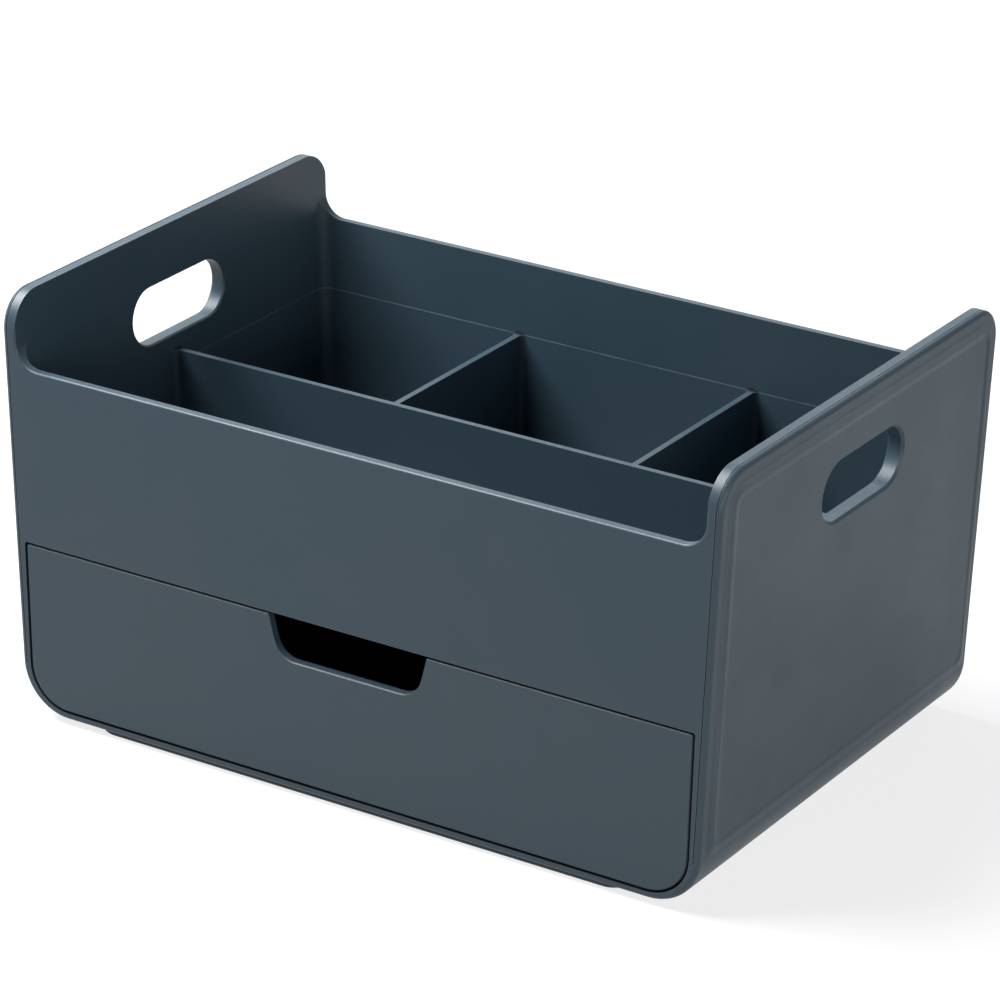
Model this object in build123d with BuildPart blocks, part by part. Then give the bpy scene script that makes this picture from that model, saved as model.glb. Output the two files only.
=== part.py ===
# Desk caddy with an open organiser on top and one flush drawer below, in moulded plastic.
# Frame: X runs along the front, the front faces -Y, Z is up, and the origin is the middle
# of the footprint on the table. All sizes are in millimetres and all angles in degrees.

import os
from math import cos, radians, sin, tan

from build123d import *

# Overall sizes
width = 262.0  # across the end walls, at their top
depth = 172.0  # front face to rear face, at the rims
end_top = 144.0  # top of the raised end walls
rim_top = 120.5  # top of the front and rear walls
shell_bottom = 2.2  # underside of the body, above the table
side_draft = 2.1  # lean of the end walls, which close in towards the table
rear_draft = 0.8  # lean of the rear wall

# Walls and outer roundings of the body
end_wall = 5.0
front_wall = 2.8
rear_wall = 3.0
bottom_radius = 17.5  # the two long bottom edges
ear_radius = 12.0  # convex corners of the end walls, seen from the side
rim_sweep = 8.0  # concave corners where the rims run up into the end walls
side_edge = 1.6  # rounding round each end face
rim_edge = 0.8  # outer edge of the front and rear rims

# Raised panel on each end wall
panel_height = 0.7
panel_border = 4.2  # from the edge of the end wall to the panel
panel_root = 1.0  # how far the panel is sunk in the wall that carries it
panel_bottom = 18.5
panel_bevel = 3.0
panel_corner = 8.0
panel_low_corner = 2.5

# Handle slots
slot_length = 50.0
slot_height = 19.5
slot_drop = 28.8  # from the top of the end wall to the middle of the slot
slot_outer_edge = 0.9
slot_inner_edge = 0.5

# Parting line round each end wall, just inside the rounding of its edge
parting_inset = 1.7
parting_width = 0.25
parting_depth = 0.25

# Compartments
floor_top = 66.5  # of the front compartment
rear_floor_top = 54.0  # of the deeper rear compartments
floor_thickness = 2.2
wall_draft = 0.5
pocket_corner = 4.0
long_divider_y = -2.2
long_divider_top = 100.0
cross_divider_x = 45.0
cross_divider_top = 95.2
divider_top_thickness = 2.0
divider_flare = 2.0
pocket_floor_edge = 1.2

# Drawer bay
bay_side = 7.0  # from the end wall's outer face at its top to the bay at bay_width_level
bay_width_level = 60.0
bay_draft = 1.15
bay_top = 61.35
bay_bottom = 4.55
bay_corner = 14.85
bay_top_corner = 0.8
bay_relief = 1.0  # the bay is wider than its mouth in the front wall by this much a side
drawer_gap = 0.7

# Drawer
drawer_front_thickness = 3.0
drawer_wall = 2.0
tray_clearance = 0.5  # tray stands in from the drawer front's edge, at the sides and below
tray_head_gap = 1.2  # from the tray's walls to the lower ceiling of the bay
gusset_drop = 1.6  # from the top of the drawer front to the gussets that brace it
gusset_length = 14.0
tray_end_gap = 14.0  # from the rear face of the body to the tray
tray_corner = 4.0
drawer_travel = 115.0
drawer_edge = 0.35
stop_length = 10.0
stop_height = 8.0
stop_overlap = 0.6  # how far each stop reaches behind the edge of the bay's mouth
stop_gap = 0.3
notch_middle = 0.0
notch_top_width = 58.7
notch_bottom_width = 51.5
notch_depth = 14.4
notch_radius = 8.0

# Base plate, its screws and the foot pads
plinth_ledge = 6.0  # past each end of the opening in the body
plinth_front_inset = 2.0
plinth_rear_inset = 3.0
plinth_corner = 7.0
plinth_edge = 0.5
pad_stand_out = 0.3  # the pads hold the plinth off the table by this much
base_opening_half = 93.0
base_opening_front_inset = 9.0
base_opening_rear_inset = 22.0
base_opening_corner = 5.0
base_clearance = 0.2
base_skin = 2.0
base_rim = 3.0
base_rib = 1.6
base_rib_count = 5
rib_set_back = 0.6
runner_inset = 13.0  # from the end of the opening
runner_width = 2.4
runner_end_gap = 4.0
tongue_width = 14.0
tongue_reach = 4.0
tongue_thickness = 1.2
foot_side_inset = 9.0  # from the end of the opening
foot_end_inset = 10.0  # from its front and rear
foot_length = 13.0
foot_width = 9.0
foot_corner = 2.0
foot_thickness = 1.2
foot_rim = 1.5  # of the land round each pad
screw_side_inset = 23.0  # from the end of the opening
screw_rear_inset = 9.0  # from the rear face of the body
screw_radius = 1.5
screw_head_radius = 2.9
screw_head_recess = 0.2
screw_length = 9.0
screw_end_gap = 0.5
boss_radius = 3.6
boss_height = 8.0
boss_web = 2.0
drive_width = 0.7
drive_length = 3.2
drive_depth = 0.8
stop_rib_x = 40.0
stop_rib_width = 2.0
stop_rib_height = 25.0
post_root = 0.5  # how far bosses and ribs are sunk in what carries them

overshoot = 10.0  # how far a cutting tool runs past what it cuts
front_y = -depth / 2
rear_y = depth / 2
bay_half_width = width / 2 - bay_side
bay_ceiling = floor_top - floor_thickness
rear_bay_ceiling = rear_floor_top - floor_thickness
bay_front = front_y + front_wall
tray_back = rear_y - tray_end_gap
plinth_half = base_opening_half + plinth_ledge
plinth_front = front_y + plinth_front_inset
plinth_rear = rear_y - plinth_rear_inset
base_opening_front = front_y + base_opening_front_inset
base_opening_rear = rear_y - base_opening_rear_inset
runner_x = base_opening_half - runner_inset
foot_x = base_opening_half - foot_side_inset
foot_front = base_opening_front + foot_end_inset
foot_rear = base_opening_rear - foot_end_inset
screw_x = base_opening_half - screw_side_inset
screw_y = rear_y - screw_rear_inset
plinth_bottom = pad_stand_out
screw_start = plinth_bottom + screw_head_recess
screw_end = screw_start + screw_length
drawer_bottom = bay_bottom + drawer_gap
drawer_top = bay_top - drawer_gap
tray_front = front_y + drawer_front_thickness
tray_top = rear_bay_ceiling - tray_head_gap
gusset_top = drawer_top - gusset_drop
tray_bottom = drawer_bottom + tray_clearance
tray_floor = tray_bottom + drawer_wall
tray_outer_corner = bay_corner - drawer_gap - tray_clearance
tray_inner_corner = tray_outer_corner - drawer_wall
stop_front = bay_front + drawer_travel + stop_gap
slot_middle = end_top - slot_drop
wall_middle = width / 2 - end_wall / 2 - (end_top - slot_middle) * tan(radians(side_draft))
tongue_places = (-screw_x, 0.0, screw_x)
tall = end_top + 2 * overshoot
long_foot = divider_top_thickness / 2 + (long_divider_top - rear_floor_top) * tan(
    radians(wall_draft)
)
cross_foot = divider_top_thickness / 2 + (cross_divider_top - rear_floor_top) * tan(
    radians(wall_draft)
)
step_front = long_divider_y - long_foot
low_divider_top = min(long_divider_top, cross_divider_top)
high_divider_top = max(long_divider_top, cross_divider_top)
screw_places = {"left": -screw_x, "centre": 0.0, "right": screw_x}
foot_places = {
    "front_left": (-foot_x, foot_front),
    "front_right": (foot_x, foot_front),
    "rear_left": (-foot_x, foot_rear),
    "rear_right": (foot_x, foot_rear),
}


def half_width(z):
    """Half the width of the body at a height, without the raised panels."""
    return width / 2 - (end_top - z) * tan(radians(side_draft))


def inner_half(z):
    """Half the width between the end walls at a height."""
    return half_width(z) - end_wall


def rear_face(z):
    """Where the rear face is at a height."""
    return rear_y - (end_top - z) * tan(radians(rear_draft))


def front_inner(z):
    """Where the inner face of the front wall is at a height."""
    return front_y + front_wall + (rim_top - z) * tan(radians(wall_draft))


def rear_inner(z):
    """Where the inner face of the rear wall is at a height."""
    return rear_face(z) - rear_wall


def bay_half(z):
    """Half the width of the drawer opening at a height."""
    return bay_half_width - (bay_width_level - z) * tan(radians(bay_draft))


def bay_inner_half(z):
    """Half the width of the bay behind its mouth at a height."""
    return bay_half(z) + bay_relief


def drawer_half(z):
    """Half the width of the drawer front at a height."""
    return bay_half(z) - drawer_gap


def tray_half(z):
    """Half the width of the tray at a height."""
    return drawer_half(z) - tray_clearance


def tray_inner_half(z):
    """Half the width of the space in the tray at a height."""
    return tray_half(z) - drawer_wall


def outline(plane, points, low_radius=0.0, high_radius=0.0):
    """A closed outline on a plane, with its lowest and its highest corners rounded."""
    with BuildSketch(plane) as sketch:
        with BuildLine():
            Polyline(*points, close=True)
        make_face()
        if low_radius:
            fillet(sketch.vertices().group_by(Axis.Y)[0], radius=low_radius)
        if high_radius:
            fillet(sketch.vertices().group_by(Axis.Y)[-1], radius=high_radius)
    return sketch.sketch


def front_view(plane, half_at, low, high, low_radius=0.0, high_radius=0.0):
    """An outline seen from the front, whose half width is a function of height."""
    points = (
        (-half_at(low), low),
        (half_at(low), low),
        (half_at(high), high),
        (-half_at(high), high),
    )
    return outline(plane, points, low_radius, high_radius)


def side_view(front_at, rear_at, low, high, high_radius=0.0):
    """An outline seen from the right, between two faces that depend on height."""
    points = (
        (front_at(low), low),
        (rear_at(low), low),
        (rear_at(high), high),
        (front_at(high), high),
    )
    return outline(Plane.YZ, points, 0.0, high_radius)


def plan(level, x_low, x_high, y_low, y_high, radius):
    """A rectangle with rounded corners, seen from above at a level."""
    with BuildSketch(Plane.XY.offset(level)) as sketch:
        with Locations(((x_low + x_high) / 2, (y_low + y_high) / 2)):
            RectangleRounded(x_high - x_low, y_high - y_low, radius)
    return sketch.sketch


def end_plane(side, stand_off):
    """The plane of an end wall's outer face: +1 is the right end and -1 the left."""
    lean = radians(side_draft)
    origin = Vector(side * half_width(0), 0, 0)
    outward = Vector(side, 0, -tan(lean)).normalized()
    return Plane(origin=origin + outward * stand_off, x_dir=(0, side, 0), z_dir=outward)


def panel_outline(side, stand_off, inset):
    """The raised panel's outline, drawn in by an inset, off an end wall's outer face."""
    rise = cos(radians(side_draft))
    half = depth / 2 - panel_border - inset
    low = panel_bottom / rise + inset
    high = (end_top - panel_border) / rise - inset
    points = ((-half, low), (half, low), (half, high), (-half, high))
    return outline(end_plane(side, stand_off), points, panel_low_corner, panel_corner - inset)


def edge_outline(side, inset):
    """The edge of an end wall, drawn in by an inset, in the plane of its parting line."""
    lean = radians(side_draft)
    front = side * (front_y + inset)
    low = (panel_bottom - parting_inset * sin(lean)) / cos(lean)
    high = (end_top - inset - parting_inset * sin(lean)) / cos(lean)
    rear_low = side * (rear_face(panel_bottom) - inset)
    rear_high = side * (rear_face(end_top - inset) - inset)
    points = ((front, low), (rear_low, low), (rear_high, high), (front, high))
    return outline(end_plane(side, -parting_inset), points, 0.0, ear_radius - inset)


def parting_ring(side):
    """What the parting line takes off the edge of an end wall, above the panel's lower edge."""
    return edge_outline(side, -overshoot) - edge_outline(side, parting_depth)


# The space of the drawer bay, lower below the rear compartments
bay_side_points = (
    (bay_front, 0),
    (rear_inner(0), 0),
    (rear_inner(rear_bay_ceiling), rear_bay_ceiling),
    (step_front, rear_bay_ceiling),
    (step_front, bay_ceiling),
    (bay_front, bay_ceiling),
)
with BuildPart() as bay_space:
    extrude(
        front_view(Plane.XZ, bay_inner_half, bay_bottom, bay_ceiling, bay_corner + bay_relief),
        amount=depth,
        both=True,
    )
    extrude(
        outline(Plane.YZ, bay_side_points), amount=width, both=True, mode=Mode.INTERSECT
    )

# The space of the compartments, before the dividers go in
compartment_side_points = (
    (front_inner(floor_top), floor_top),
    (long_divider_y, floor_top),
    (long_divider_y, rear_floor_top),
    (rear_inner(rear_floor_top), rear_floor_top),
    (rear_inner(tall), tall),
    (front_inner(tall), tall),
)
with BuildPart() as compartment_space:
    extrude(front_view(Plane.XZ, inner_half, rear_floor_top, tall), amount=depth, both=True)
    extrude(
        outline(Plane.YZ, compartment_side_points), amount=width, both=True, mode=Mode.INTERSECT
    )
    upright_corners = compartment_space.edges().filter_by(
        lambda e: e.length > end_top - floor_top and abs(e.tangent_at(0).Z) > 0.9
    )
    fillet(upright_corners, radius=pocket_corner)

# Body: one moulding with the walls, the compartments and the drawer bay
with BuildPart() as body_shell:
    with BuildSketch(Plane.XZ) as body_front:
        with BuildLine():
            Polyline(
                (-half_width(shell_bottom), shell_bottom),
                (half_width(shell_bottom), shell_bottom),
                (half_width(tall), tall),
                (inner_half(tall), tall),
                (inner_half(rim_top), rim_top),
                (-inner_half(rim_top), rim_top),
                (-inner_half(tall), tall),
                (-half_width(tall), tall),
                close=True,
            )
        make_face()
        fillet(body_front.vertices().group_by(Axis.Y)[0], radius=bottom_radius)
        fillet(
            body_front.vertices().filter_by(lambda v: abs(v.Y - rim_top) < 0.01), radius=rim_sweep
        )
    extrude(amount=depth, both=True)
    extrude(
        side_view(lambda z: front_y, rear_face, 0, tall + overshoot),
        amount=width,
        both=True,
        mode=Mode.INTERSECT,
    )
    rims = body_shell.edges().filter_by(Axis.X)
    fillet(rims.filter_by(lambda e: abs(e.center().Z - rim_top) < 0.01), radius=rim_edge)
    extrude(
        side_view(lambda z: front_y, rear_face, 0, end_top, ear_radius),
        amount=width,
        both=True,
        mode=Mode.INTERSECT,
    )
    side_edges = body_shell.edges().filter_by(
        lambda e: e.length > end_top / 2 and abs(e.center().X) > inner_half(rim_top) + end_wall / 2
        and abs(e.tangent_at(0).Z) > 0.9
    )
    fillet(side_edges, radius=side_edge)

    # Raised panels of the end walls
    for side in (-1, 1):
        extrude(panel_outline(side, 0, 0), amount=-panel_root)
        loft([panel_outline(side, 0, 0), panel_outline(side, panel_height, panel_bevel)])

    add(compartment_space.part, mode=Mode.SUBTRACT)

    # Dividers, standing on the floor of the rear compartments
    with BuildSketch(Plane.YZ) as long_section:
        with BuildLine():
            Polyline(
                (long_divider_y - long_foot, rear_floor_top),
                (long_divider_y + long_foot, rear_floor_top),
                (long_divider_y + divider_top_thickness / 2, long_divider_top),
                (long_divider_y - divider_top_thickness / 2, long_divider_top),
                close=True,
            )
        make_face()
    extrude(amount=inner_half(rear_floor_top) + end_wall / 2, both=True)
    for middle in (-cross_divider_x, cross_divider_x):
        with BuildSketch(Plane.XZ.offset(-long_divider_y)):
            with BuildLine():
                Polyline(
                    (middle - cross_foot, rear_floor_top),
                    (middle + cross_foot, rear_floor_top),
                    (middle + divider_top_thickness / 2, cross_divider_top),
                    (middle - divider_top_thickness / 2, cross_divider_top),
                    close=True,
                )
            make_face()
        extrude(amount=-(rear_inner(rear_floor_top) + rear_wall / 2 - long_divider_y))
    flares = body_shell.edges().filter_by(
        lambda e: low_divider_top - floor_top - 1 < e.length < high_divider_top - rear_floor_top + 2
        and abs(e.tangent_at(0).Z) > 0.9
        and rear_floor_top < e.center().Z < high_divider_top
    )
    fillet(flares, radius=divider_flare)
    for level in (floor_top, rear_floor_top):
        pocket_edges = body_shell.edges().filter_by(
            lambda e: abs(e.bounding_box().max.Z - level) < 0.01
            and abs(e.bounding_box().min.Z - level) < 0.01
        )
        chamfer(pocket_edges, length=pocket_floor_edge)

    # Drawer bay: the space inside, then the opening in the front
    add(bay_space.part, mode=Mode.SUBTRACT)
    bay_mouth = Plane.XZ.offset(overshoot - front_y)
    extrude(
        front_view(bay_mouth, bay_half, bay_bottom, bay_top, bay_corner, bay_top_corner),
        amount=-(overshoot + front_wall),
        mode=Mode.SUBTRACT,
    )

    # Opening for the base plate, and the pockets in its front ledge for the plate's tongues
    opening_outline = plan(
        shell_bottom - overshoot,
        -base_opening_half,
        base_opening_half,
        base_opening_front,
        base_opening_rear,
        base_opening_corner,
    )
    extrude(opening_outline, amount=overshoot + bay_bottom, mode=Mode.SUBTRACT)
    pocket_level = bay_bottom - tongue_thickness - base_clearance / 2
    with BuildSketch(Plane.XY.offset(pocket_level)):
        with Locations(*[(x, base_opening_front) for x in tongue_places]):
            Rectangle(
                tongue_width + 2 * base_clearance, 2 * (tongue_reach + base_clearance)
            )
    extrude(amount=tongue_thickness + base_clearance, mode=Mode.SUBTRACT)

    # Screw bosses and drawer stops behind the drawer
    web_end = rear_inner(bay_bottom) + rear_wall / 2
    with BuildSketch(Plane.XY.offset(bay_bottom - post_root)):
        with Locations(*[(x, screw_y) for x in screw_places.values()]):
            Circle(boss_radius)
            Rectangle(boss_web, web_end - screw_y, align=(Align.CENTER, Align.MIN))
    extrude(amount=boss_height + post_root)
    with BuildSketch(Plane.XY.offset(bay_bottom - post_root)):
        with Locations((-stop_rib_x, tray_back), (stop_rib_x, tray_back)):
            Rectangle(stop_rib_width, web_end - tray_back, align=(Align.CENTER, Align.MIN))
    extrude(amount=stop_rib_height + post_root)
    with BuildSketch(Plane.XY.offset(shell_bottom)):
        with Locations(*[(x, screw_y) for x in screw_places.values()]):
            Circle(screw_radius)
    extrude(amount=screw_end + screw_end_gap - shell_bottom, mode=Mode.SUBTRACT)

    # Handle slots through both end walls
    for side in (-1, 1):
        with BuildSketch(end_plane(side, overshoot)):
            with Locations((0, slot_middle / cos(radians(side_draft)))):
                SlotOverall(slot_length, slot_height)
        extrude(amount=-(2 * overshoot + end_wall), mode=Mode.SUBTRACT)
        loops = body_shell.edges(Select.LAST).filter_by(lambda e: abs(e.tangent_at(0).X) < 0.5)
        outer_loop = loops.filter_by(lambda e: abs(e.center().X) > wall_middle)
        inner_loop = loops.filter_by(lambda e: abs(e.center().X) < wall_middle)
        chamfer(outer_loop, length=slot_outer_edge)
        chamfer(inner_loop, length=slot_inner_edge)

    # Parting lines round both end walls
    for side in (-1, 1):
        extrude(parting_ring(side), amount=-parting_width, mode=Mode.SUBTRACT)

body_shell.part.label = "body_shell"

# Drawer: a flush front with a finger notch, and the tray behind it
with BuildPart() as tray_space:
    extrude(
        front_view(
            Plane.XZ.offset(-tray_front), tray_inner_half, tray_floor, tall, tray_inner_corner
        ),
        amount=-(tray_back - drawer_wall - tray_front),
    )
    tray_corners = tray_space.edges().filter_by(
        lambda e: abs(e.tangent_at(0).Z) > 0.9 and e.length > drawer_top - tray_floor
    )
    fillet(tray_corners, radius=tray_corner)

above_tray_points = (
    (tray_front, gusset_top),
    (tray_front + gusset_length, tray_top),
    (tray_back + overshoot, tray_top),
    (tray_back + overshoot, tall),
    (tray_front, tall),
)
with BuildPart() as drawer:
    extrude(
        front_view(
            Plane.XZ.offset(-front_y),
            drawer_half,
            drawer_bottom,
            drawer_top,
            bay_corner - drawer_gap,
            bay_top_corner,
        ),
        amount=-drawer_front_thickness,
    )
    extrude(
        front_view(
            Plane.XZ.offset(-tray_front), tray_half, tray_bottom, gusset_top, tray_outer_corner
        ),
        amount=-(tray_back - tray_front),
    )
    add(tray_space.part, mode=Mode.SUBTRACT)
    extrude(
        outline(Plane.YZ, above_tray_points), amount=width, both=True, mode=Mode.SUBTRACT
    )

    # Stops on the tray's side walls, which meet the front wall when the drawer is out
    stop_inner = tray_half(tray_top) - drawer_wall / 2
    stop_outer = bay_half(tray_top - stop_height) + stop_overlap
    for side in (-1, 1):
        with BuildSketch(Plane.XY.offset(tray_top - stop_height)):
            with Locations((side * (stop_inner + stop_outer) / 2, stop_front)):
                Rectangle(
                    stop_outer - stop_inner, stop_length, align=(Align.CENTER, Align.MIN)
                )
        extrude(amount=stop_height)

    # Finger notch in the top edge of the front
    with BuildSketch(Plane.XZ.offset(overshoot - front_y)) as notch_outline:
        with BuildLine():
            Polyline(
                (notch_middle - notch_bottom_width / 2, drawer_top - notch_depth),
                (notch_middle + notch_bottom_width / 2, drawer_top - notch_depth),
                (notch_middle + notch_top_width / 2, drawer_top),
                (notch_middle + notch_top_width / 2, drawer_top + overshoot),
                (notch_middle - notch_top_width / 2, drawer_top + overshoot),
                (notch_middle - notch_top_width / 2, drawer_top),
                close=True,
            )
        make_face()
        fillet(notch_outline.vertices().group_by(Axis.Y)[0], radius=notch_radius)
    extrude(amount=-(overshoot + drawer_front_thickness + drawer_wall), mode=Mode.SUBTRACT)
    front_edges = drawer.faces().filter_by(Axis.Y).sort_by(Axis.Y)[0].edges()
    chamfer(front_edges, length=drawer_edge)

drawer.part.label = "drawer"

# Base plate: a shallow plinth with a rim and ribs below, and runners for the drawer above
with BuildPart() as base_plate:
    extrude(
        plan(
            plinth_bottom, -plinth_half, plinth_half, plinth_front, plinth_rear, plinth_corner
        ),
        amount=shell_bottom - plinth_bottom,
    )
    chamfer(base_plate.faces().sort_by(Axis.Z)[0].edges(), length=plinth_edge)
    extrude(
        plan(
            shell_bottom,
            -base_opening_half + base_clearance,
            base_opening_half - base_clearance,
            base_opening_front + base_clearance,
            base_opening_rear - base_clearance,
            base_opening_corner - base_clearance,
        ),
        amount=bay_bottom - shell_bottom,
    )
    # hollow underside
    hollow_top = bay_bottom - base_skin
    extrude(
        plan(
            plinth_bottom,
            -base_opening_half + base_rim,
            base_opening_half - base_rim,
            base_opening_front + base_rim,
            base_opening_rear - base_rim,
            base_opening_corner - base_rim / 2,
        ),
        amount=hollow_top - plinth_bottom,
        mode=Mode.SUBTRACT,
    )
    # ribs across the hollow, set back from the table
    rib_bottom = plinth_bottom + rib_set_back
    rib_depth = base_opening_rear - base_opening_front - base_rim
    rib_middle = (base_opening_rear + base_opening_front) / 2
    with BuildSketch(Plane.XY.offset(rib_bottom)):
        with Locations((0, rib_middle)):
            with GridLocations(base_opening_half * 2 / (base_rib_count + 1), 0, base_rib_count, 1):
                Rectangle(base_rib, rib_depth)
            Rectangle(2 * base_opening_half - base_rim, base_rib)
    extrude(amount=hollow_top - rib_bottom + base_skin / 2)
    # lands for the foot pads
    with BuildSketch(Plane.XY.offset(plinth_bottom)):
        with Locations(*foot_places.values()):
            Rectangle(foot_length + 2 * foot_rim, foot_width + 2 * foot_rim)
    extrude(amount=hollow_top - plinth_bottom + base_skin / 2)
    with BuildSketch():
        with Locations(*foot_places.values()):
            RectangleRounded(foot_length, foot_width, foot_corner)
    extrude(amount=foot_thickness, mode=Mode.SUBTRACT)
    # runners that carry the drawer
    with BuildSketch(Plane.XY.offset(bay_bottom - base_skin / 2)):
        with Locations((0, rib_middle)):
            with GridLocations(2 * runner_x, 0, 2, 1):
                Rectangle(
                    runner_width, base_opening_rear - base_opening_front - 2 * runner_end_gap
                )
    extrude(amount=tray_bottom - bay_bottom + base_skin / 2)
    # tongues that hook over the body's front ledge
    with BuildSketch(Plane.XY.offset(bay_bottom - tongue_thickness)):
        with Locations(*[(x, base_opening_front + base_rim) for x in tongue_places]):
            Rectangle(tongue_width, base_rim + tongue_reach, align=(Align.CENTER, Align.MAX))
    extrude(amount=tongue_thickness)
    # countersunk screw holes
    with BuildSketch(Plane.XY.offset(plinth_bottom)):
        with Locations(*[(x, screw_y) for x in screw_places.values()]):
            Circle(screw_head_radius)
    extrude(amount=screw_head_recess, mode=Mode.SUBTRACT)
    for x in screw_places.values():
        with Locations((x, screw_y, screw_start)):
            Cone(
                screw_head_radius,
                screw_radius,
                screw_head_radius - screw_radius,
                align=(Align.CENTER, Align.CENTER, Align.MIN),
                mode=Mode.SUBTRACT,
            )
        with Locations((x, screw_y, screw_start)):
            Cylinder(
                screw_radius,
                shell_bottom,
                align=(Align.CENTER, Align.CENTER, Align.MIN),
                mode=Mode.SUBTRACT,
            )

base_plate.part.label = "base_plate"

pieces = [body_shell.part, drawer.part, base_plate.part]

# Countersunk screws that hold the rear of the base plate
for name, x in screw_places.items():
    with BuildPart() as screw:
        with BuildSketch(Plane.XZ.offset(-screw_y)):
            with BuildLine():
                Polyline(
                    (x, screw_start),
                    (x + screw_head_radius, screw_start),
                    (x + screw_radius, screw_start + screw_head_radius - screw_radius),
                    (x + screw_radius, screw_end),
                    (x, screw_end),
                    close=True,
                )
            make_face()
        revolve(axis=Axis((x, screw_y, 0), (0, 0, 1)))
        with BuildSketch(Plane.XY.offset(screw_start)):
            with Locations((x, screw_y)):
                Rectangle(drive_length, drive_width)
                Rectangle(drive_width, drive_length)
        extrude(amount=drive_depth, mode=Mode.SUBTRACT)
    screw.part.label = "base_screw_" + name
    pieces.append(screw.part)

# Anti-slip pads in the recesses of the plinth
for name, place in foot_places.items():
    with BuildPart() as foot_pad:
        with BuildSketch():
            with Locations(place):
                RectangleRounded(foot_length, foot_width, foot_corner)
        extrude(amount=foot_thickness)
    foot_pad.part.label = "foot_pad_" + name
    pieces.append(foot_pad.part)

os.makedirs("parts", exist_ok=True)
for piece in pieces:
    export_step(piece, "parts/" + piece.label + ".step")
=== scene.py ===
# Desk caddy with a drawer: finishes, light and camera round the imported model, in metres
import bpy
import math
from mathutils import Matrix, Vector


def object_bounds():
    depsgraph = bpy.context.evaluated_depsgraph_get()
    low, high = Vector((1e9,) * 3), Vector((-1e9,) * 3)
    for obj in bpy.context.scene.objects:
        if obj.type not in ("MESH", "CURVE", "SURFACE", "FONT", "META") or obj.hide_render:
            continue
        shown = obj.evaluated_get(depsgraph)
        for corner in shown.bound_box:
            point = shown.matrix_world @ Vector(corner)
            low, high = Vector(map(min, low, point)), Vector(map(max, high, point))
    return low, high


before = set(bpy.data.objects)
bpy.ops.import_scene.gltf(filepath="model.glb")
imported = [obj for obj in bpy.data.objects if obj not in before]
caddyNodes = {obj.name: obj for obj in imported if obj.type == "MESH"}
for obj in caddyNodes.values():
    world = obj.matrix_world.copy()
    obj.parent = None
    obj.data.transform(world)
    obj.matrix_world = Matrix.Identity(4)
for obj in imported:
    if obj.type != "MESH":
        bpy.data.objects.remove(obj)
cadLow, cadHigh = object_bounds()
print("frame loaded,", len(caddyNodes), "nodes")


# Small helpers for shader nodes
def putNode(tree, kind, **settings):
    node = tree.nodes.new(kind)
    for key, value in settings.items():
        setattr(node, key, value)
    return node


def feed(tree, value, socket):
    # a link where the value is a socket, otherwise a plain number or colour
    if isinstance(value, bpy.types.NodeSocket):
        tree.links.new(value, socket)
    else:
        socket.default_value = value


def startGroup(name, colours, numbers, results):
    # an empty shader node group with named inputs, and results as name -> socket type
    group = bpy.data.node_groups.new(name, "ShaderNodeTree")
    for label in colours:
        group.interface.new_socket(name=label, in_out="INPUT", socket_type="NodeSocketColor")
    for label in numbers:
        group.interface.new_socket(name=label, in_out="INPUT", socket_type="NodeSocketFloat")
    for label, kind in results.items():
        group.interface.new_socket(name=label, in_out="OUTPUT", socket_type=kind)
    start, end = putNode(group, "NodeGroupInput"), putNode(group, "NodeGroupOutput")
    return group, start.outputs, end.inputs


def placeGroup(tree, group, values):
    node = putNode(tree, "ShaderNodeGroup", node_tree=group)
    for label, value in values.items():
        feed(tree, value, node.inputs[label])
    return node.outputs


def sums(tree, operation, *values):
    # one step of arithmetic
    step = putNode(tree, "ShaderNodeMath", operation=operation)
    for place, value in enumerate(values):
        feed(tree, value, step.inputs[place])
    return step.outputs[0]


def mixColours(tree, factor, first, second):
    mix = putNode(tree, "ShaderNodeMix", data_type="RGBA")
    feed(tree, factor, mix.inputs["Factor"])
    firstColour, secondColour = (socket for socket in mix.inputs[1:] if socket.type == "RGBA")
    feed(tree, first, firstColour)
    feed(tree, second, secondColour)
    return next(socket for socket in mix.outputs if socket.type == "RGBA")


def smoothRange(tree, value, low, high, toLow=0.0, toHigh=1.0):
    ease = putNode(tree, "ShaderNodeMapRange", interpolation_type="SMOOTHSTEP")
    limits = {"Value": value, "From Min": low, "From Max": high, "To Min": toLow, "To Max": toHigh}
    for label, number in limits.items():
        feed(tree, number, ease.inputs[label])
    return ease.outputs["Result"]


def onObject(tree):
    # the place on the piece, in metres
    return putNode(tree, "ShaderNodeTexCoord").outputs["Object"]


def splitUp(tree, vector):
    parts = putNode(tree, "ShaderNodeSeparateXYZ")
    feed(tree, vector, parts.inputs["Vector"])
    return parts.outputs["X"], parts.outputs["Y"], parts.outputs["Z"]


def lengthOf(tree, vector):
    length = putNode(tree, "ShaderNodeVectorMath", operation="LENGTH")
    feed(tree, vector, length.inputs[0])
    return length.outputs["Value"]


def noiseAt(tree, scale, detail, roughness):
    noise = putNode(tree, "ShaderNodeTexNoise")
    wanted = {"Vector": onObject(tree), "Scale": scale, "Detail": detail, "Roughness": roughness}
    for label, value in wanted.items():
        feed(tree, value, noise.inputs[label])
    return noise.outputs["Fac"]


def bumpFrom(tree, height, strength, distance):
    bump = putNode(tree, "ShaderNodeBump")
    wanted = {"Height": height, "Strength": strength, "Distance": distance}
    for label, value in wanted.items():
        feed(tree, value, bump.inputs[label])
    return bump


columnWidth, rowHeight = 220, 190


def layOut(tree):
    # columns by the number of steps to the end, so that the graph reads from left to right
    steps = {node.name: 0 for node in tree.nodes}
    for _ in range(len(tree.nodes)):
        for link in tree.links:
            behind = steps[link.to_node.name] + 1
            steps[link.from_node.name] = max(steps[link.from_node.name], behind)
    rows = {}
    for node in tree.nodes:
        column = steps[node.name]
        row = rows.get(column, 0)
        node.location = (-column * columnWidth, -row * rowHeight)
        rows[column] = row + 1


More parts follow.
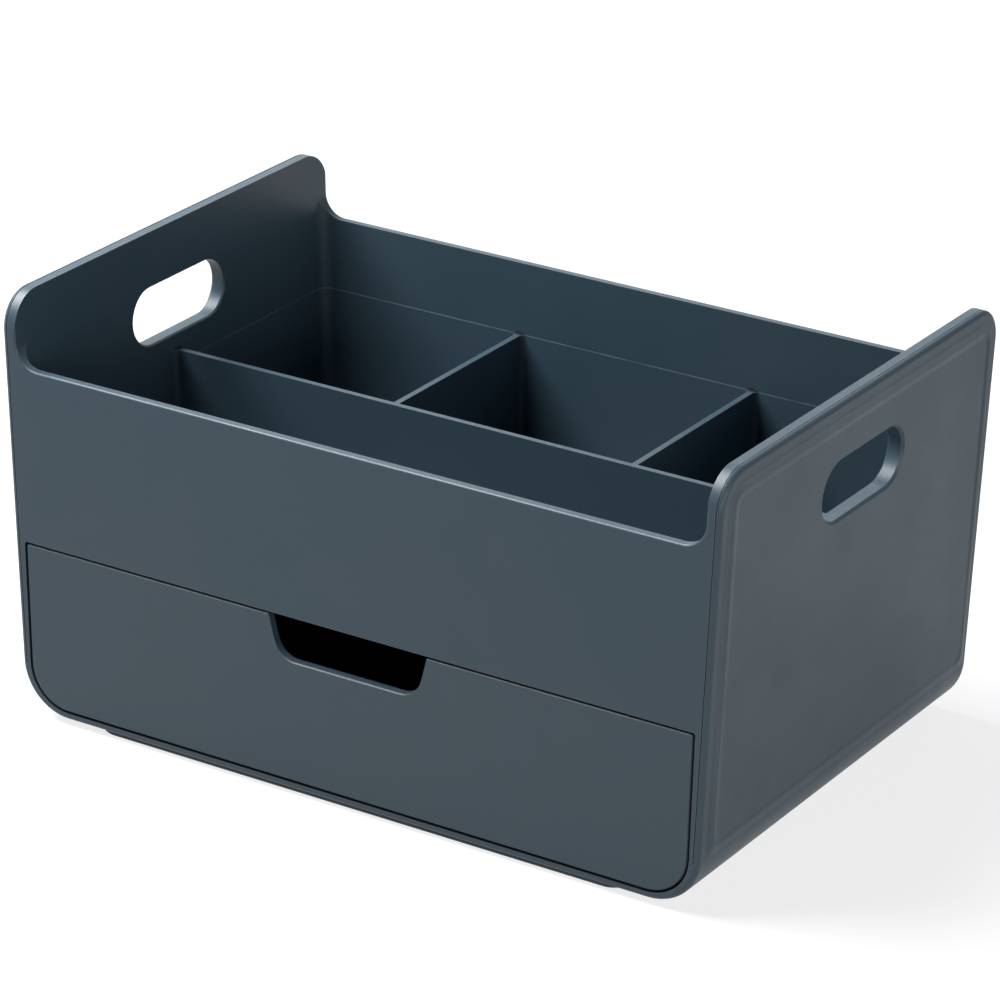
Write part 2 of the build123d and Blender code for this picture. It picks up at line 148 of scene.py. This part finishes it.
# Shared effects: noise scales are per metre, and the other bare values run from 0 to 1
flowShape = {"detail": 3.0, "roughness": 0.6, "low": 0.35, "high": 0.65}


def buildFlowTone():
    # slow colour drift of moulded plastic, from how the melt filled the mould
    group, given, result = startGroup(
        "flowTone", ("Colour", "Drift Colour"), ("Scale", "Amount"), {"Colour": "NodeSocketColor"})
    cloud = noiseAt(group, given["Scale"], flowShape["detail"], flowShape["roughness"])
    spread = smoothRange(group, cloud, flowShape["low"], flowShape["high"])
    factor = sums(group, "MULTIPLY", spread, given["Amount"])
    feed(group, mixColours(group, factor, given["Colour"], given["Drift Colour"]), result["Colour"])
    return group


grainShape = {
    "fineDetail": 2.0, "fineRoughness": 0.6, "fineShare": 0.25,
    "patchDetail": 4.0, "patchRoughness": 0.65, "patchShare": 0.75,
    "low": 0.3, "high": 0.7,
}


def buildMouldGrain():
    # fine spark-eroded texture and the slow roughness change of a handled surface
    group, given, result = startGroup(
        "mouldGrain", (), ("Grain Scale", "Patch Scale", "Smoothest", "Roughest"),
        {"Roughness": "NodeSocketFloat", "Height": "NodeSocketFloat"})
    fine = noiseAt(group, given["Grain Scale"], grainShape["fineDetail"], grainShape["fineRoughness"])
    patch = noiseAt(group, given["Patch Scale"], grainShape["patchDetail"], grainShape["patchRoughness"])
    blend = sums(group, "ADD",
                 sums(group, "MULTIPLY", fine, grainShape["fineShare"]),
                 sums(group, "MULTIPLY", patch, grainShape["patchShare"]))
    roughness = smoothRange(group, blend, grainShape["low"], grainShape["high"],
                            given["Smoothest"], given["Roughest"])
    feed(group, roughness, result["Roughness"])
    feed(group, fine, result["Height"])
    return group


wearHighlightShape = {
    "samples": 6, "flat": 0.999, "sharp": 0.9,
    "patchScale": 90.0, "patchDetail": 5.0, "patchRoughness": 0.7, "low": 0.35, "high": 0.7, "least": 0.35,
}


def buildEdgeWearAndHighlight():
    # edges made paler and broken up by noise: partly wear from handling, partly painted highlight where rounded
    # edges catch the light
    group, given, result = startGroup(
        "edgeWearAndHighlight", ("Colour", "Wear And Highlight Colour"), ("Radius", "Amount"), {"Colour": "NodeSocketColor"})
    rounded = putNode(group, "ShaderNodeBevel", samples=wearHighlightShape["samples"])
    feed(group, given["Radius"], rounded.inputs["Radius"])
    surface = putNode(group, "ShaderNodeNewGeometry")
    facing = putNode(group, "ShaderNodeVectorMath", operation="DOT_PRODUCT")
    feed(group, rounded.outputs["Normal"], facing.inputs[0])
    feed(group, surface.outputs["Normal"], facing.inputs[1])
    edge = smoothRange(group, facing.outputs["Value"], wearHighlightShape["flat"], wearHighlightShape["sharp"])
    cloud = noiseAt(group, wearHighlightShape["patchScale"], wearHighlightShape["patchDetail"], wearHighlightShape["patchRoughness"])
    patch = smoothRange(group, cloud, wearHighlightShape["low"], wearHighlightShape["high"], wearHighlightShape["least"])
    mask = sums(group, "MULTIPLY", sums(group, "MULTIPLY", edge, patch), given["Amount"])
    feed(group, mixColours(group, mask, given["Colour"], given["Wear And Highlight Colour"]), result["Colour"])
    return group


dustShape = {"tilted": 0.6, "level": 1.0, "scale": 420.0, "detail": 3.0, "roughness": 0.7, "low": 0.45, "high": 0.75}


def buildSettledDust():
    # a trace of dust on what faces up
    group, given, result = startGroup(
        "settledDust", ("Colour", "Dust Colour"), ("Amount",), {"Colour": "NodeSocketColor"})
    surface = putNode(group, "ShaderNodeNewGeometry")
    _, _, upwards = splitUp(group, surface.outputs["Normal"])
    lying = smoothRange(group, upwards, dustShape["tilted"], dustShape["level"])
    cloud = noiseAt(group, dustShape["scale"], dustShape["detail"], dustShape["roughness"])
    speck = smoothRange(group, cloud, dustShape["low"], dustShape["high"])
    mask = sums(group, "MULTIPLY", sums(group, "MULTIPLY", lying, speck), given["Amount"])
    feed(group, mixColours(group, mask, given["Colour"], given["Dust Colour"]), result["Colour"])
    return group


lineShape = {
    "turned": 0.5,  # how far a wall may face the rear or up and still carry the line
    "scale": 60.0, "detail": 3.0, "roughness": 0.6, "low": 0.3, "high": 0.6, "least": 0.35,
}


def buildLedgeHighlightLine():
    # painted highlight: a faint pale level line on the inner walls, standing for light caught by the tiny ledge that
    # the mould's core left
    group, given, result = startGroup(
        "ledgeHighlightLine", ("Colour", "Highlight Colour"), ("Level", "Width", "Front", "Half Length", "Amount"),
        {"Colour": "NodeSocketColor"})
    along, depth, height = splitUp(group, onObject(group))
    surface = putNode(group, "ShaderNodeNewGeometry")
    _, rearward, upwards = splitUp(group, surface.outputs["Normal"])
    offLevel = sums(group, "ABSOLUTE", sums(group, "SUBTRACT", height, given["Level"]))
    halfWidth = sums(group, "MULTIPLY", given["Width"], 0.5)
    onLevel = sums(group, "LESS_THAN", offLevel, halfWidth)
    behind = sums(group, "GREATER_THAN", depth, given["Front"])
    inside = sums(group, "LESS_THAN", sums(group, "ABSOLUTE", along), given["Half Length"])
    notRear = sums(group, "LESS_THAN", rearward, lineShape["turned"])
    upright = sums(group, "LESS_THAN", sums(group, "ABSOLUTE", upwards), lineShape["turned"])
    cloud = noiseAt(group, lineShape["scale"], lineShape["detail"], lineShape["roughness"])
    mask = smoothRange(group, cloud, lineShape["low"], lineShape["high"], lineShape["least"])
    for part in (onLevel, behind, inside, notRear, upright, given["Amount"]):
        mask = sums(group, "MULTIPLY", mask, part)
    feed(group, mixColours(group, mask, given["Colour"], given["Highlight Colour"]), result["Colour"])
    return group


fieldShape = {"fadeFrom": 0.01, "fadeTo": 0.11, "leastDepth": 0.25}


def buildEndField():
    # a soft cove just inside the panel edge of both end walls, deeper towards the top
    group, given, result = startGroup(
        "endField", (), ("Half Length", "Low", "High", "Corner", "Width", "Inner Face"),
        {"Height": "NodeSocketFloat"})
    outwards, depth, height = splitUp(group, onObject(group))
    middle = sums(group, "MULTIPLY", sums(group, "ADD", given["Low"], given["High"]), 0.5)
    halfHeight = sums(group, "SUBTRACT", given["High"], middle)
    # how far a point lies outside a rectangle with rounded corners, along each side and then in all
    along = sums(group, "SUBTRACT", sums(group, "ABSOLUTE", depth),
                 sums(group, "SUBTRACT", given["Half Length"], given["Corner"]))
    offMiddle = sums(group, "ABSOLUTE", sums(group, "SUBTRACT", height, middle))
    upright = sums(group, "SUBTRACT", offMiddle, sums(group, "SUBTRACT", halfHeight, given["Corner"]))
    corner = putNode(group, "ShaderNodeCombineXYZ")
    feed(group, sums(group, "MAXIMUM", along, 0.0), corner.inputs["X"])
    feed(group, sums(group, "MAXIMUM", upright, 0.0), corner.inputs["Y"])
    beyond = lengthOf(group, corner.outputs["Vector"])
    within = sums(group, "MINIMUM", sums(group, "MAXIMUM", along, upright), 0.0)
    outside = sums(group, "SUBTRACT", sums(group, "ADD", beyond, within), given["Corner"])
    sunk = smoothRange(group, sums(group, "MULTIPLY", outside, -1.0), 0.0, given["Width"])
    fade = smoothRange(group, height, fieldShape["fadeFrom"], fieldShape["fadeTo"], fieldShape["leastDepth"])
    onEnds = sums(group, "GREATER_THAN", sums(group, "ABSOLUTE", outwards), given["Inner Face"])
    for part in (fade, onEnds, -1.0):
        sunk = sums(group, "MULTIPLY", sunk, part)
    feed(group, sunk, result["Height"])
    return group


seamShape = {"samples": 8, "open": 0.93, "shut": 0.66, "dull": 0.95}


def buildPaintedSeamShade():
    # painted shade: darkens narrow seams, gaps and inner corners by how sheltered they are, and makes them rougher
    group, given, result = startGroup(
        "paintedSeamShade", ("Colour", "Painted Shade Colour"), ("Roughness", "Reach", "Amount"),
        {"Colour": "NodeSocketColor", "Roughness": "NodeSocketFloat"})
    shelter = putNode(group, "ShaderNodeAmbientOcclusion", samples=seamShape["samples"])
    feed(group, given["Reach"], shelter.inputs["Distance"])
    deep = smoothRange(group, shelter.outputs["AO"], seamShape["open"], seamShape["shut"])
    mask = sums(group, "MULTIPLY", deep, given["Amount"])
    feed(group, mixColours(group, mask, given["Colour"], given["Painted Shade Colour"]), result["Colour"])
    rougher = sums(group, "MULTIPLY", sums(group, "SUBTRACT", seamShape["dull"], given["Roughness"]), mask)
    feed(group, sums(group, "ADD", given["Roughness"], rougher), result["Roughness"])
    return group


flowTone = buildFlowTone()
mouldGrain = buildMouldGrain()
edgeWearAndHighlight = buildEdgeWearAndHighlight()
settledDust = buildSettledDust()
ledgeHighlightLine = buildLedgeHighlightLine()
endField = buildEndField()
paintedSeamShade = buildPaintedSeamShade()
for effect in (flowTone, mouldGrain, edgeWearAndHighlight, settledDust, ledgeHighlightLine, endField, paintedSeamShade):
    layOut(effect)
print("shared effects built")


# Finishes, one dictionary each, lengths in metres
slatePlastic = {
    "colour": (0.026, 0.049, 0.068, 1), "drift": (0.030, 0.051, 0.069, 1), "driftScale": 12.0, "driftAmount": 0.7,
    # paler edge colour: partly wear, partly painted highlight on the edges
    "wearAndHighlight": (0.16, 0.18, 0.20, 1), "wearHighlightRadius": 0.0006, "wearHighlightAmount": 0.2,
    "dust": (0.35, 0.36, 0.36, 1), "dustAmount": 0.05,
    # painted shade colour, reach and amount for seams, gaps and inner corners
    "seamShadeColour": (0.001, 0.005, 0.009, 1), "seamReach": 0.0024, "seamAmount": 0.95,
    "grainScale": 1600.0, "patchScale": 26.0, "smoothest": 0.36, "roughest": 0.46,
    "grainStrength": 0.12, "grainDepth": 0.0001, "ior": 1.42,
}
bodyPlastic = dict(
    slatePlastic,
    # the pale level line on the inner walls is a painted highlight of a tiny ledge
    ledgeHighlightColour=(0.13, 0.17, 0.19, 1), lineLevel=0.0952, lineWidth=0.0004, lineFront=0.0, lineHalf=0.1268,
    lineAmount=0.7,
    fieldHalf=0.0818, fieldLow=0.0185, fieldHigh=0.1398, fieldCorner=0.008, fieldWidth=0.005,
    fieldInner=0.1261, fieldDepth=0.0016)
drawerPlastic = dict(
    slatePlastic, colour=(0.029, 0.050, 0.068, 1), drift=(0.032, 0.052, 0.069, 1), driftScale=10.0, wearHighlightAmount=0.06)
basePlastic = dict(
    slatePlastic, colour=(0.026, 0.049, 0.066, 1), grainScale=900.0, smoothest=0.45, roughest=0.6, seamAmount=0.15)
padRubber = {
    "colour": (0.018, 0.018, 0.019, 1), "drift": (0.03, 0.03, 0.031, 1), "driftScale": 120.0, "driftAmount": 1.0,
    "wearAndHighlight": (0.09, 0.09, 0.09, 1), "wearHighlightRadius": 0.0005, "wearHighlightAmount": 0.6,
    "grainScale": 1400.0, "patchScale": 90.0, "smoothest": 0.7, "roughest": 0.92,
    "grainStrength": 0.35, "grainDepth": 0.0002,
}
screwSteel = {
    "colour": (0.52, 0.53, 0.54, 1), "drift": (0.44, 0.45, 0.47, 1), "driftScale": 400.0, "driftAmount": 1.0,
    "wearAndHighlight": (0.72, 0.72, 0.72, 1), "wearHighlightRadius": 0.0002, "wearHighlightAmount": 0.7,
    "grainScale": 2500.0, "patchScale": 500.0, "smoothest": 0.22, "roughest": 0.42,
    "grainStrength": 0.2, "grainDepth": 0.00005, "metallic": 1.0,
}


def buildFinish(name, finish):
    # tone, paler edges (wear and painted highlight) and grain on all, and dust, the painted highlight line, painted
    # seam shade and cove where the finish has values for them
    material = bpy.data.materials.new(name)
    material.use_nodes = True
    tree = material.node_tree
    shader = tree.nodes["Principled BSDF"]
    colour = placeGroup(tree, flowTone, {
        "Colour": finish["colour"], "Drift Colour": finish["drift"], "Scale": finish["driftScale"],
        "Amount": finish["driftAmount"]})["Colour"]
    colour = placeGroup(tree, edgeWearAndHighlight, {
        "Colour": colour, "Wear And Highlight Colour": finish["wearAndHighlight"], "Radius": finish["wearHighlightRadius"],
        "Amount": finish["wearHighlightAmount"]})["Colour"]
    grain = placeGroup(tree, mouldGrain, {
        "Grain Scale": finish["grainScale"], "Patch Scale": finish["patchScale"],
        "Smoothest": finish["smoothest"], "Roughest": finish["roughest"]})
    roughness = grain["Roughness"]
    bump = bumpFrom(tree, grain["Height"], finish["grainStrength"], finish["grainDepth"])
    if "dust" in finish:
        colour = placeGroup(tree, settledDust, {
            "Colour": colour, "Dust Colour": finish["dust"], "Amount": finish["dustAmount"]})["Colour"]
    if "ledgeHighlightColour" in finish:
        colour = placeGroup(tree, ledgeHighlightLine, {
            "Colour": colour, "Highlight Colour": finish["ledgeHighlightColour"], "Level": finish["lineLevel"],
            "Width": finish["lineWidth"], "Front": finish["lineFront"], "Half Length": finish["lineHalf"],
            "Amount": finish["lineAmount"]})["Colour"]
    if "seamShadeColour" in finish:
        seamShadeColour = placeGroup(tree, paintedSeamShade, {
            "Colour": colour, "Roughness": roughness, "Painted Shade Colour": finish["seamShadeColour"],
            "Reach": finish["seamReach"], "Amount": finish["seamAmount"]})
        colour, roughness = seamShadeColour["Colour"], seamShadeColour["Roughness"]
    if "fieldDepth" in finish:
        field = placeGroup(tree, endField, {
            "Half Length": finish["fieldHalf"], "Low": finish["fieldLow"], "High": finish["fieldHigh"],
            "Corner": finish["fieldCorner"], "Width": finish["fieldWidth"],
            "Inner Face": finish["fieldInner"]})
        cove = bumpFrom(tree, field["Height"], 1.0, finish["fieldDepth"])
        feed(tree, cove.outputs["Normal"], bump.inputs["Normal"])
    feed(tree, colour, shader.inputs["Base Color"])
    feed(tree, roughness, shader.inputs["Roughness"])
    feed(tree, bump.outputs["Normal"], shader.inputs["Normal"])
    for key, label in (("ior", "IOR"), ("metallic", "Metallic")):
        if key in finish:
            shader.inputs[label].default_value = finish[key]
    layOut(tree)
    return material


# the start of a node's name tells its finish
finishes = {
    "body_shell": buildFinish("bodySlate", bodyPlastic),
    "drawer": buildFinish("drawerSlate", drawerPlastic),
    "base_plate": buildFinish("baseSlate", basePlastic),
    "base_screw": buildFinish("screwSteel", screwSteel),
    "foot_pad": buildFinish("padRubber", padRubber),
}
for name, node in caddyNodes.items():
    for start, material in finishes.items():
        if name.startswith(start):
            for place in node.material_slots:
                place.material = material
            if not node.material_slots:
                node.data.materials.append(material)
print("finishes assigned")


# Floor, world and lamps
studio = {
    "floorSize": 8.0, "floorColour": (0.22, 0.22, 0.22, 1), "floorRoughness": 0.9, "floorSpecular": 0.1,
    "floorGlow": 0.17,  # what the floor gives off on its own
    "floorSheen": 0.45,  # more of it for reflections
    "floorLift": 0.62, "farLift": 0.88, "liftNear": 0.5, "liftFar": 1.6,  # and for the camera, up to white far off
    "roomStrength": 0.03, "glossStrength": 0.5,
    "lamps": (
        # place, width and height, power in watts, what it aims at
        ((1.0, -1.15, 0.2), (1.1, 0.5), 6.2, (0.05, 0.0, 0.05)),
        ((-0.45, -0.17, 0.88), (0.75, 0.6), 27.5, (0.0, 0.0, 0.1)),
        ((1.3, -0.2, 0.36), (1.0, 0.3), 5.0, (0.0, 0.0, 0.1)),
        ((-0.85, 1.35, 0.7), (1.7, 0.9), 5.0, (0.0, 0.0, 0.1)),
    ),
}
plainWhite = (1, 1, 1, 1)


def seenDirectly(tree):
    # 1 for what the camera sees straight or through something clear
    path = putNode(tree, "ShaderNodeLightPath")
    return sums(tree, "MAXIMUM", path.outputs["Is Camera Ray"], path.outputs["Is Transmission Ray"])


def mirrored(tree, strength):
    # the strength for reflections, and 0 otherwise
    path = putNode(tree, "ShaderNodeLightPath")
    return sums(tree, "MULTIPLY", path.outputs["Is Glossy Ray"], strength)


def buildRoom():
    world = bpy.data.worlds.new("studioRoom")
    bpy.context.scene.world = world
    world.use_nodes = True
    tree = world.node_tree
    back = tree.nodes["Background"]
    back.inputs["Color"].default_value = plainWhite
    shown = sums(tree, "MAXIMUM", seenDirectly(tree), mirrored(tree, studio["glossStrength"]))
    feed(tree, sums(tree, "MAXIMUM", shown, studio["roomStrength"]), back.inputs["Strength"])
    layOut(tree)


def buildFloor():
    bpy.ops.object.select_all(action="DESELECT")
    bpy.ops.mesh.primitive_plane_add(size=studio["floorSize"], location=(0, 0, cadLow.z))
    floor = bpy.context.object
    floor.name = "studioFloor"
    material = bpy.data.materials.new("paleFloor")
    material.use_nodes = True
    tree = material.node_tree
    shader = tree.nodes["Principled BSDF"]
    shader.inputs["Base Color"].default_value = studio["floorColour"]
    shader.inputs["Roughness"].default_value = studio["floorRoughness"]
    shader.inputs["Specular IOR Level"].default_value = studio["floorSpecular"]
    shader.inputs["Emission Color"].default_value = plainWhite
    lift = smoothRange(tree, lengthOf(tree, onObject(tree)), studio["liftNear"], studio["liftFar"],
                       studio["floorLift"], studio["farLift"])
    shown = sums(tree, "MAXIMUM", sums(tree, "MULTIPLY", seenDirectly(tree), lift),
                 mirrored(tree, studio["floorSheen"]))
    feed(tree, sums(tree, "ADD", shown, studio["floorGlow"]), shader.inputs["Emission Strength"])
    layOut(tree)
    floor.data.materials.append(material)


def buildLamps():
    for place, size, power, target in studio["lamps"]:
        bpy.ops.object.light_add(type="AREA", location=place)
        lamp = bpy.context.object
        lamp.data.shape = "RECTANGLE"
        lamp.data.size, lamp.data.size_y = size
        lamp.data.energy = power
        aim = Vector(place) - Vector(target)
        lamp.rotation_euler = aim.to_track_quat("Z", "Y").to_euler()


buildRoom()
buildFloor()
buildLamps()
bpy.context.scene.view_settings.view_transform = "Standard"
print("studio set up")

# Camera where the photograph was taken from, angles in degrees
photoView = {
    "azimuth": 32.4445, "elevation": 23.412, "roll": 0.6873, "distance": 1.53639,
    "aim": (0.00052, 0.0, 0.07518), "sensor": 36.0, "lens": 173.627, "nearest": 0.05, "farthest": 20.0,
}


def buildCamera():
    azimuth, elevation, roll = (math.radians(photoView[key]) for key in ("azimuth", "elevation", "roll"))
    flat = math.cos(elevation)
    back = Vector((math.sin(azimuth) * flat, -math.cos(azimuth) * flat, math.sin(elevation)))
    right = Vector((0, 0, 1)).cross(back).normalized()
    up = back.cross(right)
    turnedRight = math.cos(roll) * right + math.sin(roll) * up
    turnedUp = math.cos(roll) * up - math.sin(roll) * right
    bpy.ops.object.camera_add()
    camera = bpy.context.object
    camera.name = "photoCamera"
    camera.data.sensor_width, camera.data.lens = photoView["sensor"], photoView["lens"]
    camera.data.clip_start, camera.data.clip_end = photoView["nearest"], photoView["farthest"]
    turn = Matrix((turnedRight, turnedUp, back)).transposed()
    place = Vector(photoView["aim"]) + back * photoView["distance"]
    camera.matrix_world = Matrix.Translation(place) @ turn.to_4x4()
    bpy.context.scene.camera = camera


buildCamera()
print("camera placed")
